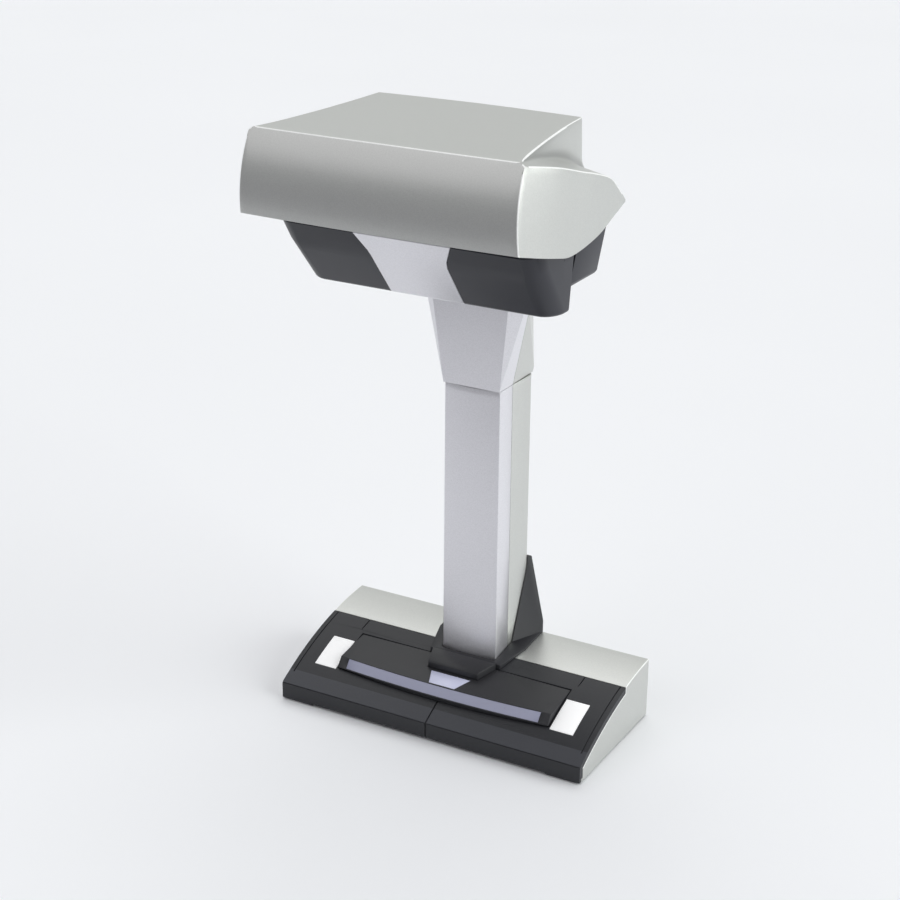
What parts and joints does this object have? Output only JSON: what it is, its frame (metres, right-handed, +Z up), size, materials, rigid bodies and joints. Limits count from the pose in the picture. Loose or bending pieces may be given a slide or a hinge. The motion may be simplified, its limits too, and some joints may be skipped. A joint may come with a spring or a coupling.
{
  "type": "overhead book scanner",
  "caption": "Overhead scanner: weighted base with scan and stop buttons, slim column with flared neck, and a silver hood over a lens and lamp unit that swings to sweep the page.",
  "frame": {"origin": "centre of the overall outline, on the surface that the scanner stands on", "axes": "+Z up, +X to the user's right when facing the front, +Y to the rear"},
  "size_m": [0.21, 0.156, 0.383],
  "materials": {
    "silver_paint": "silver metallic paint on moulded plastic, fine sparkle, satin",
    "silver_lilac": "silver metallic paint, slightly cooler, satin",
    "black_plastic": "charcoal plastic with a fine moulded grain",
    "head_black": "charcoal satin paint",
    "button_black": "charcoal plastic, satin",
    "lilac_light_guide": "translucent lilac light guide",
    "white_patch": "calibration white, matt",
    "rubber_black": "matt rubber",
    "steel": "zinc plated steel",
    "steel_bright": "ground steel",
    "screw_steel": "blackened steel",
    "circuit_board": "green solder mask on laminate",
    "chip_black": "moulded epoxy",
    "socket_black": "moulded plastic",
    "socket_metal": "tin plated shell",
    "wire": "insulated wires",
    "nylon": "natural acetal",
    "brass": "turned brass",
    "lens_glass": "coated glass",
    "diffuser": "frosted diffuser",
    "lens_black": "black anodised",
    "led": "white light diode",
    "board_white": "white aluminium board"
  },
  "bodies": {
    "stand": {"foot_pads": "rubber_black", "base_bottom_cover": "black_plastic", "base_plate": "steel", "base_front_cover": "black_plastic", "base_rear_cover": "silver_paint", "white_reference_left": "white_patch", "white_reference_right": "white_patch", "button_board": "circuit_board", "tact_switches": "chip_black", "main_board": "circuit_board", "board_chips": "chip_black", "dc_jack": "socket_black", "usb_socket": "socket_metal", "security_slot_plate": "steel", "column_foot_cover": "black_plastic", "column_front_cover": "silver_lilac", "column_rear_cover": "silver_paint", "neck_front_cover": "silver_lilac", "neck_rear_cover": "silver_paint", "column_frame": "steel", "wiring_harness": "wire", "base_screws": "screw_steel", "head_chassis": "steel", "chassis_screws": "screw_steel", "hood": "silver_paint", "hood_baffle": "black_plastic", "head_rear_housing": "head_black", "head_board": "circuit_board", "pivot_pin_left": "steel_bright", "pivot_pin_right": "steel_bright", "motor": "steel", "motor_bracket": "steel", "gear_axle": "steel_bright", "home_sensor": "chip_black", "column_screws": "screw_steel", "board_posts": "black_plastic"},
    "scan_button": {"scan_button": "button_black", "scan_button_strip": "lilac_light_guide", "lamp_window": "lilac_light_guide"},
    "stop_button": {"stop_button": "button_black"},
    "scan_head": {"head_shell": "head_black", "head_stripe": "silver_lilac", "optics_frame": "steel", "pivot_bush_left": "nylon", "pivot_bush_right": "nylon", "lens_window": "lens_glass", "lamp_diffuser_left": "diffuser", "lamp_diffuser_right": "diffuser", "lens_barrel": "lens_black", "lens_glass": "lens_glass", "sensor_board": "circuit_board", "image_sensor": "chip_black", "lamp_boards": "board_white", "lamp_leds": "led", "sector_gear": "nylon", "dust_skirt": "black_plastic"},
    "reduction_wheel": {"reduction_gear": "nylon"},
    "motor_rotor": {"motor_shaft": "steel_bright", "motor_pinion": "brass"}
  },
  "joints": [
    {"name": "head_swing", "type": "hinge", "parent": "stand", "child": "scan_head", "pos_m": [0, -0.008, 0.322], "axis": [-1, 0, 0], "range_deg": [0, 45]},
    {"name": "reduction_turn", "type": "hinge", "parent": "stand", "child": "reduction_wheel", "pos_m": [0.0536, 0.01244, 0.34244], "axis": [-1, 0, 0], "range_deg": [-225, 0]},
    {"name": "motor_turn", "type": "hinge", "parent": "stand", "child": "motor_rotor", "pos_m": [0.056, 0.02606, 0.34739], "axis": [-1, 0, 0], "range_deg": [0, 675]},
    {"name": "scan_press", "type": "hinge", "parent": "stand", "child": "scan_button", "pos_m": [0, 0.0285, 0.026], "axis": [1, 0, 0], "range_deg": [0, 1.3], "stiffness_Nm_per_rad": 2.5, "springref_deg": -1.15},
    {"name": "stop_press", "type": "slide", "parent": "stand", "child": "stop_button", "axis": [0, 0, -1], "range_m": [0, 0.0008], "stiffness_N_per_m": 1500, "springref_m": -0.0008}
  ],
  "couplings": [
    {"joint": "reduction_turn", "follows": "head_swing", "ratio": -5},
    {"joint": "motor_turn", "follows": "head_swing", "ratio": 15}
  ]
}
